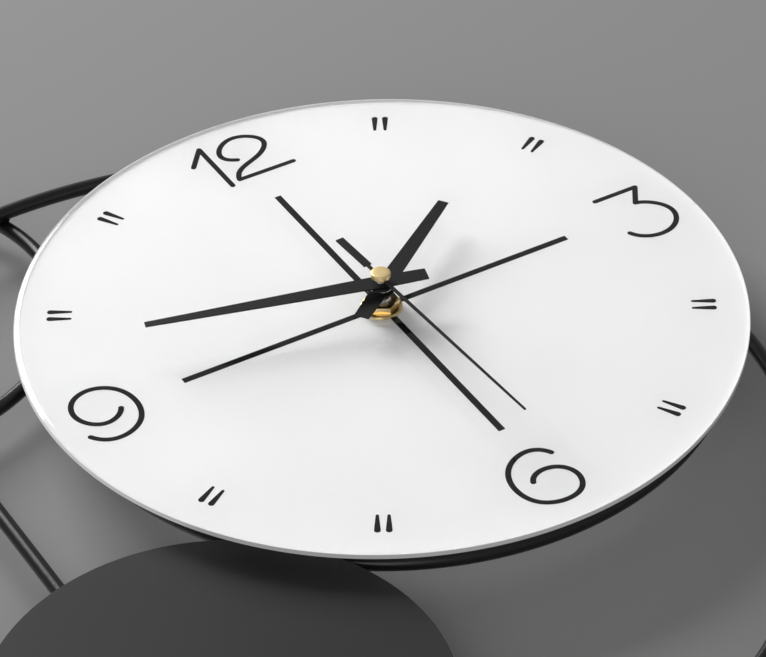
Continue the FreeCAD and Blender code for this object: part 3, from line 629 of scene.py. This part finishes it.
# %% Strut
def straight_rod(radius, x, level, low_y, high_y, round_mm):
    """Round rod parallel to y, with rounded ends, in mm."""
    bpy.ops.object.select_all(action="DESELECT")
    bpy.ops.mesh.primitive_circle_add(
        vertices=32, radius=radius * MM, rotation=(math.radians(90), 0, 0),
        location=(x * MM, low_y * MM, level * MM), fill_type="NGON",
    )
    edit_everything()
    bpy.ops.mesh.extrude_region_move(TRANSFORM_OT_translate={"value": (0, (high_y - low_y) * MM, 0)})
    close_seams()
    return soften(leave_edit(), round_mm, 3)


strut = Extent("strut")
rod = straight_rod(ROD_R, strut.middle.x, strut.middle.z, strut.low.y, strut.high.y + ROD_R / 2, 0.6)
settle(hang(rod), "strut_straight", "frame", "black_powder_coat", "strut")

# %% [markdown]
# ## The accent plate
# The plate is a laser-cut disc of sheet steel. Its edge is only just broken with a file, which leaves
# the thin bright line round a matt face, so the turned section gets a small round there.

# %% Accent plate
plate = Extent("accent_plate")
centre = (plate.middle.x, plate.middle.y)
radius = plate.half.x
section = [(0, plate.low.z), (radius, plate.low.z), (radius, plate.high.z), (0, plate.high.z)]
disc = soften(lathe(section, steps=256, centre=centre, closed=False), 0.25, 3)
settle(hang(disc), "accent_plate_cut", "frame", "plate_enamel", "accent_plate")

# %% [markdown]
# ## The hands
# The hands are stamped sheet with burr-free, slightly rounded edges. The CAD nodes have the right
# outline, so they are copied, their triangles merged back into faces, and every edge is rounded by a
# tenth of a millimetre. That is enough for the light to draw their outline.

# %% Hands
for node, body in (("hour_hand", "hours"), ("minute_hand", "minutes"), ("second_hand", "seconds")):
    settle(refined(node, 0.1), node + "_stamped", body, "hand_black", node)

# %% [markdown]
# ## Washer, nut and bush
# The dial is clamped between a rubber washer behind and a broad brass washer and nut in front, on the
# movement's threaded bush. The nut is cut from hexagon bar and faced, and the other two are lathe work.
# The washer has a rolled shoulder, and the bush a thread drawn as rings, because its helix can't be
# told from rings at this size.

# %% Brass washer
washer = Extent("brass_washer")
r, top = washer.half.x, washer.high.z
WASHER_BORE_R, WASHER_GAP = 4.1, 0.02
section = [
    (WASHER_BORE_R, WASHER_GAP), (r - 0.2, WASHER_GAP), (r, 0.2), (r, top - 0.75), (r - 0.12, top - 0.4),
    (r - 0.35, top - 0.15), (r - 0.8, top), (WASHER_BORE_R, top),
]
settle(hang(lathe(section, 96)), "brass_washer_turned", "frame", "polished_brass", "brass_washer")
settle(refined("brass_nut", 0.15), "brass_nut_faced", "frame", "polished_brass", "brass_nut")

# %% Threaded bush
bush = Extent("threaded_bush")
r, bore, top = 4.0, 2.56, bush.high.z
FLANGE_R, FLANGE_T = 5.5, 1.3
PITCH, THREAD_DEEP = 0.5, 0.3
flange_top = bush.low.z + FLANGE_T
section = [(bore, bush.low.z), (FLANGE_R, bush.low.z), (FLANGE_R, flange_top), (r, flange_top)]
thread_start = bush.low.z + 1.4
turns = int((top - 0.4 - thread_start) / PITCH)
for k in range(turns):
    z = thread_start + k * PITCH
    section += [(r, z + 0.05), (r - THREAD_DEEP, z + PITCH / 2), (r, z + PITCH - 0.05)]
section += [(r - 0.35, top), (bore, top)]
settle(hang(lathe(section, 64)), "threaded_bush_cut", "frame", "nickel_steel", "threaded_bush")

# %% [markdown]
# ## Collets and cap
# Each hand is riveted to a collet that is pushed on its arbor. The hour and minute collets are blackened
# with their hands. The minute collet is the broad disc in the middle of the stack, and its foot was
# faced off after the blackening, which left a thin bright line. The cap is a turned brass button with a
# slightly crowned face.

# %% Collets and cap
def collet(node, name, body, slot, bore, round_mm):
    """A short tube turned to the size of a CAD node."""
    size = Extent(node)
    r, low, high = size.half.x, size.low.z, size.high.z
    section = [
        (bore, low), (r - round_mm, low), (r, low + round_mm),
        (r, high - round_mm), (r - round_mm, high), (bore, high),
    ]
    settle(hang(lathe(section, 64)), name, body, slot, node)


collet("hour_collet", "hour_collet_turned", "hours", "hand_black", 2.5, 0.15)
collet("minute_collet", "minute_collet_turned", "minutes", "hand_black", 1.6, 0.2)
collet("second_collet", "second_collet_turned", "seconds", "polished_brass", 0.5, 0.1)

foot = Extent("minute_collet")
r, low = foot.half.x + 0.03, foot.low.z - 0.02
LINE_DEEP, LINE_TALL = 0.43, 0.3
section = [(r - LINE_DEEP, low), (r, low), (r, low + LINE_TALL), (r - LINE_DEEP, low + LINE_TALL)]
settle(hang(lathe(section, 96)), "minute_collet_foot_faced", "minutes", "nickel_steel")

cap = Extent("hand_cap")
r, low, top = cap.half.x, cap.low.z, cap.high.z
section = [
    (0, low), (r - 0.3, low), (r, low + 0.25), (r, top - 0.55), (r - 0.08, top - 0.32), (r - 0.3, top - 0.12),
    (r - 0.6, top - 0.06), (r * 0.5, top - 0.015), (0, top),
]
button = hang(lathe(section, 96, closed=False))
settle(button, "hand_cap_turned", "seconds", "polished_brass", "hand_cap", material=CAP_BRASS)

# %% [markdown]
# ## Bar, tabs and welds
# Behind the dial a sheared flat bar carries the movement, and two punched tabs take the wall hooks.
# Their edges are tumbled, so they get three tenths of a millimetre of round. All joints of the frame are
# short hand welds, laid as a row of frozen ripples and coated over. One ripple is a sphere
# squashed along the seam, and each weld is a row of copies that overlap and differ a little in size.

# %% Bar and tabs
settle(refined("cross_bar", 0.3), "cross_bar_sheared", "frame", "black_powder_coat", "cross_bar")
settle(refined("hanger_tabs", 0.3), "hanger_tabs_punched", "frame", "black_powder_coat", "hanger_tabs")

# %% Welds
random.seed(12)
bpy.ops.object.select_all(action="DESELECT")
bpy.ops.mesh.primitive_uv_sphere_add(segments=12, ring_count=8, radius=MM)
edit_everything()
bpy.ops.transform.resize(value=(1.0, 1.0, 0.55))
ripple = leave_edit()
ripples = []
RIPPLE_STEP = 1.1
ROD_WELD, BAR_WELD, STRUT_WELD = 1.5, 1.2, 1.3


def copy_of(piece, matrix):
    """A copy of a piece with its own mesh, placed by a matrix."""
    twin = bpy.data.objects.new(piece.name, piece.data.copy())
    bpy.context.scene.collection.objects.link(twin)
    twin.matrix_world = matrix
    return twin


def weld(start, end, radius):
    """A row of ripples from start to end, in bench millimetres."""
    a, b = Vector(start), Vector(end)
    count = max(3, round((b - a).length / RIPPLE_STEP))
    turn = (b - a).to_track_quat("Z", "X").to_matrix().to_4x4()
    for k in range(count):
        place = Matrix.Translation(a.lerp(b, (k + 0.5) / count) * MM)
        ripples.append(copy_of(ripple, place @ turn @ Matrix.Scale(radius * random.uniform(0.88, 1.12), 4)))


def on_ring(ring, angle, level):
    """A point on a ring."""
    at = math.radians(angle)
    x, y, radius = ring
    return Vector((x + radius * math.cos(at), y + radius * math.sin(at), level))


def along_ring(angle):
    """The direction of a ring's rod at an angle."""
    at = math.radians(angle)
    return Vector((-math.sin(at), math.cos(at), 0))


dial = ring_of(dial_ring)
layer_1, layer_2 = dial_ring.middle.z, small_ring.middle.z
for angle in (towards + half_cut, towards - half_cut):
    joint = on_ring(BIG_RING, angle, layer_1)
    seam = (joint - Vector((dial[0], dial[1], layer_1))).normalized()
    seam = Vector((-seam.y, seam.x, 0)) * (ROD_R + 0.6)
    for side in (-1, 1):
        lift = Vector((0, 0, side * ROD_R * 0.8))
        weld(joint - seam + lift, joint + seam + lift, ROD_WELD)
across, half_small = crossing(BIG_RING, ring_of(small_ring))
for angle in (across + half_small, across - half_small):
    joint = on_ring(BIG_RING, angle, (layer_1 + layer_2) / 2)
    reach = along_ring(angle) * 3.4
    weld(joint - reach, joint + reach, ROD_WELD)
bar = Extent("cross_bar")
for side in (-1, 1):
    for edge_y in (bar.low.y, bar.high.y):
        x = dial[0] + side * math.sqrt(dial[2] ** 2 - edge_y ** 2)
        weld((x - 2.6, edge_y, bar.low.z - 0.3), (x + 2.6, edge_y, bar.low.z - 0.3), BAR_WELD)
    x, level = strut.middle.x + side * 2.3, plate.low.z - 0.9
    weld((x, strut.low.y + 4, level), (x, strut.low.y + 16, level), STRUT_WELD)
bpy.data.objects.remove(ripple)
settle(hang(join(ripples)), "frame_welds", "frame", "black_powder_coat")

# %% [markdown]
# ## Rubber feet
# Three rubber feet are pushed on the rods and keep them off the wall. Each is a short turned stud with a
# hollow sole, a waist that lets it grip, and a domed top round the rod. One is turned and copied.

# %% Feet
feet = Extent("wall_bumpers")
FOOT_R = 6.0
FOOT_PLACES = ((BIG_RING, 200), (BIG_RING, 285), (dial, 40))
sole = feet.low.z
section = [
    (0, sole + 1.0), (2.6, sole + 0.8), (3.6, sole), (5.2, sole), (FOOT_R, sole + 0.8), (FOOT_R, sole + 3.2),
    (5.2, sole + 4.4), (5.2, sole + 10.5), (5.6, sole + 12.0), (5.6, layer_1), (4.9, layer_1 + 1.8),
    (3.0, layer_1 + 3.35), (0, layer_1 + 3.75),
]
stud = soften(lathe(section, 48, closed=False), 0.3)
studs = []
for ring, angle in FOOT_PLACES:
    studs.append(copy_of(stud, Matrix.Translation(on_ring(ring, angle, 0) * MM)))
bpy.data.objects.remove(stud)
settle(hang(join(studs)), "rubber_feet_moulded", "frame", "black_rubber", "wall_bumpers")

# %% [markdown]
# ## The two cases
# The movement and the pendulum drive are boxes of moulded ABS. Their corners are rounded as a mould
# needs, by copies of the CAD nodes with softened edges. The covers get what a real one has: raised
# ribs that stiffen it, a ring round the setting knob, and small cross-head screws. The swinging arm
# and the nuts on the plate's studs are softened in the same way.

# %% Case shells
for node, name in (
    ("movement_case", "movement_case_moulded"), ("movement_cover", "movement_cover_moulded"),
    ("swing_case", "swing_case_moulded"), ("swing_cover", "swing_cover_moulded"),
):
    settle(refined(node, 0.3), name, "frame", "black_abs", node)
settle(refined("swing_arm", 0.15), "swing_arm_moulded", "pendulum", "white_acetal", "swing_arm")
settle(refined("stud_nuts", 0.15), "stud_nuts_faced", "frame", "nickel_steel", "stud_nuts")

# %% Ribs and rings on the covers
def block(x0, x1, y0, y1, low, high):
    """A moulded bar between bench limits in mm, its outer face drawn in as a mould's taper needs."""
    bpy.ops.object.select_all(action="DESELECT")
    bpy.ops.mesh.primitive_cube_add(
        size=MM, location=((x0 + x1) / 2 * MM, (y0 + y1) / 2 * MM, (low + high) / 2 * MM),
        scale=(x1 - x0, y1 - y0, high - low),
    )
    bpy.ops.object.transform_apply(location=True, rotation=False, scale=True)
    edit_everything()
    bpy.ops.mesh.select_all(action="DESELECT")
    bpy.ops.mesh.select_mode(type="FACE")
    made = bmesh.from_edit_mesh(bpy.context.object.data)
    for face in made.faces:
        face.select_set(face.normal.z < -0.9)
    bmesh.update_edit_mesh(bpy.context.object.data)
    bpy.ops.mesh.inset(thickness=0.15 * MM)
    bpy.ops.transform.translate(value=(0, 0, -0.05 * MM))
    return soften(leave_edit(), 0.12)


cover = Extent("movement_cover")
knob = Extent("setting_knob")
KNOB_X, KNOB_Y = knob.middle.x, knob.middle.y
RIB_H = 0.7
ROOT = 0.2
root, tip = cover.low.z + ROOT, cover.low.z - RIB_H
ribs = [block(-24 + 5 * k, -22.8 + 5 * k, 2, 20, tip, root) for k in range(5)]
ring = [(5.6, root), (6.6, root), (6.4, cover.low.z - 0.5), (5.8, cover.low.z - 0.5)]
ribs.append(soften(lathe(ring, 64, (KNOB_X, KNOB_Y)), 0.15))
settle(hang(join(ribs)), "movement_cover_ribs", "frame", "black_abs")

drive = Extent("swing_cover")
mid_x, mid_y, root = drive.middle.x, drive.middle.y, drive.low.z + ROOT
ribs = []
for k in range(6):
    y = mid_y + 14 - 3.4 * k
    ribs.append(block(mid_x - 26, mid_x - 8, y, y + 1.3, drive.low.z - RIB_H, root))
BEAD_W, BEAD_H = 0.8, 0.35
left, right, foot_y, head_y = mid_x - 28.2, mid_x - 5.5, mid_y - 28, mid_y + 28
for x0, x1, y0, y1 in (
    (left, right, foot_y, foot_y + BEAD_W), (left, right, head_y - BEAD_W, head_y),
    (left, left + BEAD_W, foot_y, head_y), (right - BEAD_W, right, foot_y, head_y),
):
    ribs.append(block(x0, x1, y0, y1, drive.low.z - BEAD_H, root))
settle(hang(join(ribs)), "swing_cover_ribs", "frame", "black_abs")

# %% [markdown]
# A pan-head screw is a turned head with a cross sunk into it. The cross is two crossed bars, taken out of
# the head by a Boolean modifier. One screw is made and copied to the corners of the covers.

# %% Screws
head = soften(lathe([(0, 0), (1.9, 0), (1.9, -0.35), (1.3, -0.95), (0, -1.1)], 32, closed=False), 0.12)
bars = [block(-1.15, 1.15, -0.22, 0.22, -1.5, -0.5), block(-0.22, 0.22, -1.15, 1.15, -1.5, -0.5)]
for bar_cutter in bars:
    with_modifier(head, "BOOLEAN", operation="DIFFERENCE", object=bar_cutter)
    bpy.data.objects.remove(bar_cutter)
SUNK = 0.05
places = [(x, y, cover.low.z + SUNK) for x, y in ((-25, -11), (-25, 21), (25, 21), (25, -11.6))]
drive_corners = ((-2, -29), (-2, 29), (26, -29), (26, 29))
places += [(mid_x + x, mid_y + y, drive.low.z + SUNK) for x, y in drive_corners]
screws = [copy_of(head, Matrix.Translation(Vector(place) * MM)) for place in places]
bpy.data.objects.remove(head)
settle(hang(join(screws)), "cover_screws", "frame", "nickel_steel")

# %% [markdown]
# ## The AA cells
# A cell is a nickel-plated can with a button, in a printed sleeve that is shrunk over its ends. Both are
# turned upright and then laid in their bay. Before a cell is laid down, each point of the sleeve stores
# how far up the cell it sits, which is what the sleeve's finish reads.

# %% Cells
CELL_TALL = 50.3
SLEEVE = [
    (6.0, -0.02), (6.85, -0.02), (7.1, 0.25), (7.1, 48.7), (6.85, 49.0), (5.6, 49.02), (5.6, 48.85),
    (6.9, 48.7), (6.95, 0.3), (6.0, 0.15),
]
CAN = [
    (0, 0.12), (6.93, 0.12), (6.93, 48.86), (3.2, 48.86), (2.8, 49.0), (2.7, 49.3), (2.7, 50.05),
    (2.45, CELL_TALL), (0, CELL_TALL),
]


def lay(piece, node, along):
    """Lays an upright piece in a cell's place, its foot at the node's low end."""
    size = Extent(node)
    foot = size.middle.copy()
    axis = max(range(3), key=lambda k: along[k])
    foot[axis] = size.low[axis]
    turn = Vector((0, 0, 1)).rotation_difference(Vector(along)).to_matrix().to_4x4()
    piece.matrix_world = Matrix.Translation(foot * MM) @ turn
    return hang(piece)


for node, along in (("clock_cell", (1, 0, 0)), ("swing_cell", (0, 1, 0))):
    sleeve = lathe(SLEEVE, 48)
    marks = sleeve.data.attributes.new("along_cell", "FLOAT", "POINT")
    marks.data.foreach_set("value", [v.co.z / (CELL_TALL * MM) for v in sleeve.data.vertices])
    settle(lay(sleeve, node, along), node + "_sleeve", "frame", "cell_jacket", node)
    settle(lay(lathe(CAN, 48, closed=False), node, along), node + "_can", "frame", "nickel_steel")

# %% [markdown]
# ## The pendulum
# The pendulum is thin coated rod with an eye bent at its top, and a brass bob spun as two shallow
# shells. The turner left two fine grooves near the rim. A small ferrule holds the rod where it enters.

# %% Pendulum rod
hook = Extent("pendulum_rod")
EYE_R, WIRE_R, THIN_R = 2.4, 1.0, 1.2
eye_y = hook.high.y - EYE_R - WIRE_R
eye = bent_rod((hook.middle.x, eye_y, EYE_R), WIRE_R, hook.middle.z, steps=48)
stem = straight_rod(THIN_R, hook.middle.x, hook.middle.z, hook.low.y, eye_y - EYE_R, 0.2)
settle(hang(join([eye, stem])), "pendulum_rod_bent", "pendulum", "black_powder_coat", "pendulum_rod")

# %% Bob
BOB_RIM = 1.0
r, half = bob.half.x, bob.half.z
ball = (r * r + (half - BOB_RIM) ** 2) / (2 * (half - BOB_RIM))


def crown(at):
    """Height of the bob's face above its middle plane at a radius."""
    return half - ball + math.sqrt(ball * ball - at * at)


face = [(at, crown(at)) for at in (0, 6, 12, 18, 23, 26.6)]
GROOVE = 0.3
for at in (27.0, 30.0):
    far = at + 2 * GROOVE
    face += [(at, crown(at)), (at + GROOVE, crown(at) - GROOVE), (far, crown(far))]
face += [(r - 0.5, crown(r - 0.5)), (r, BOB_RIM * 0.6)]
section = [(at, bob.middle.z + z) for at, z in face] + [(at, bob.middle.z - z) for at, z in reversed(face)]
disc = lathe(section, 128, (bob.middle.x, bob.middle.y), closed=False)
settle(hang(disc), "pendulum_bob_spun", "pendulum", "polished_brass", "pendulum_bob", material=BOB_BRASS)

collar = [
    (0, 0), (2.0, 0), (2.3, 0.3), (2.3, 2.4), (1.9, 2.8), (1.9, 3.6), (2.2, 3.9), (2.2, 4.6), (1.7, 5.2),
    (0, 5.2),
]
ferrule = lathe(collar, 48, closed=False)
top_of_bob = Vector((bob.middle.x, bob.high.y - 1.2, bob.middle.z)) * MM
ferrule.matrix_world = Matrix.Translation(top_of_bob) @ Matrix.Rotation(math.radians(-90), 4, "X")
settle(hang(ferrule), "bob_ferrule_turned", "pendulum", "polished_brass", material=BOB_BRASS)

# %% [markdown]
# ## The stage
# The clock hangs just off a plain painted wall. From behind, the wall would hide everything, so its
# back is see-through, and lamps reach the clock through it, as they would a clock held in the hand.

# %% Wall
WALL_BEHIND_DIAL = 34.3
bpy.ops.object.select_all(action="DESELECT")
bpy.ops.mesh.primitive_plane_add(size=5.0, location=(0, 0, -WALL_BEHIND_DIAL * MM))
wall = hang(bpy.context.object)
wall.name = "wall"
material, tree, shader, place = new_material("emulsion_paint_rolled", Roughness=0.9, Specular_IOR_Level=0.2)
roller = add(tree, "TexNoise", {"Scale": per_metre(1.5), "Detail": 2.0}, {"Vector": place})
stipple = add(tree, "Bump", {"Strength": 0.05, "Distance": 0.0002}, {"Height": roller.outputs["Fac"]})
shader.inputs["Base Color"].default_value = linear("#9E9E9E")
tree.links.new(stipple.outputs["Normal"], shader.inputs["Normal"])
side = add(tree, "NewGeometry")
rays = add(tree, "LightPath")
either = add(tree, "Math", {"operation": "MAXIMUM"})
tree.links.new(side.outputs["Backfacing"], either.inputs[0])
tree.links.new(rays.outputs["Is Shadow Ray"], either.inputs[1])
clear = add(tree, "BsdfTransparent")
both = add(tree, "MixShader", {}, {"Fac": either.outputs["Value"]})
tree.links.new(shader.outputs["BSDF"], both.inputs[1])
tree.links.new(clear.outputs["BSDF"], both.inputs[2])
tree.links.new(both.outputs["Shader"], tree.nodes["Material Output"].inputs["Surface"])
wall.data.materials.append(material)
wall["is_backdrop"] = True

# %% [markdown]
# ## Light
# An even room gives the glossy dial something pale to mirror. One large soft lamp hangs high in front,
# so the wall is lighter at the top and the dial's shade falls below it. A weaker one from the viewer's
# side lights the white rim and draws a second line on the rods, and a third stands behind the wall,
# for looks at the clock's back.

# %% Lamps
world = bpy.context.scene.world or bpy.data.worlds.new("room")
bpy.context.scene.world = world
world.use_nodes = True
ROOM = 0.28
world.node_tree.nodes["Background"].inputs["Color"].default_value = linear("#FFFFFF")
world.node_tree.nodes["Background"].inputs["Strength"].default_value = ROOM


def soft_lamp(name, place, watts, width):
    """A square area lamp at a place in the hung clock's metres, aimed at the dial."""
    data = bpy.data.lights.new(name, "AREA")
    data.energy, data.size = watts, width
    lamp = bpy.data.objects.new(name, data)
    bpy.context.scene.collection.objects.link(lamp)
    lamp.location = DIAL + Vector(place)
    lamp.rotation_mode = "QUATERNION"
    lamp.rotation_quaternion = (DIAL - lamp.location).to_track_quat("-Z", "Y")


soft_lamp("key", (-0.29, -1.1, 2.09), 48.0, 1.2)
soft_lamp("fill", (-1.1, -0.9, -1.2), 5.5, 1.0)
soft_lamp("behind", (-0.9, 1.5, 0.7), 22.0, 1.4)
print("lamps are set")

# %% Write the sizes and finish
low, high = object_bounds()
print("visual model", [round(b - a, 4) for a, b in zip(low, high)])
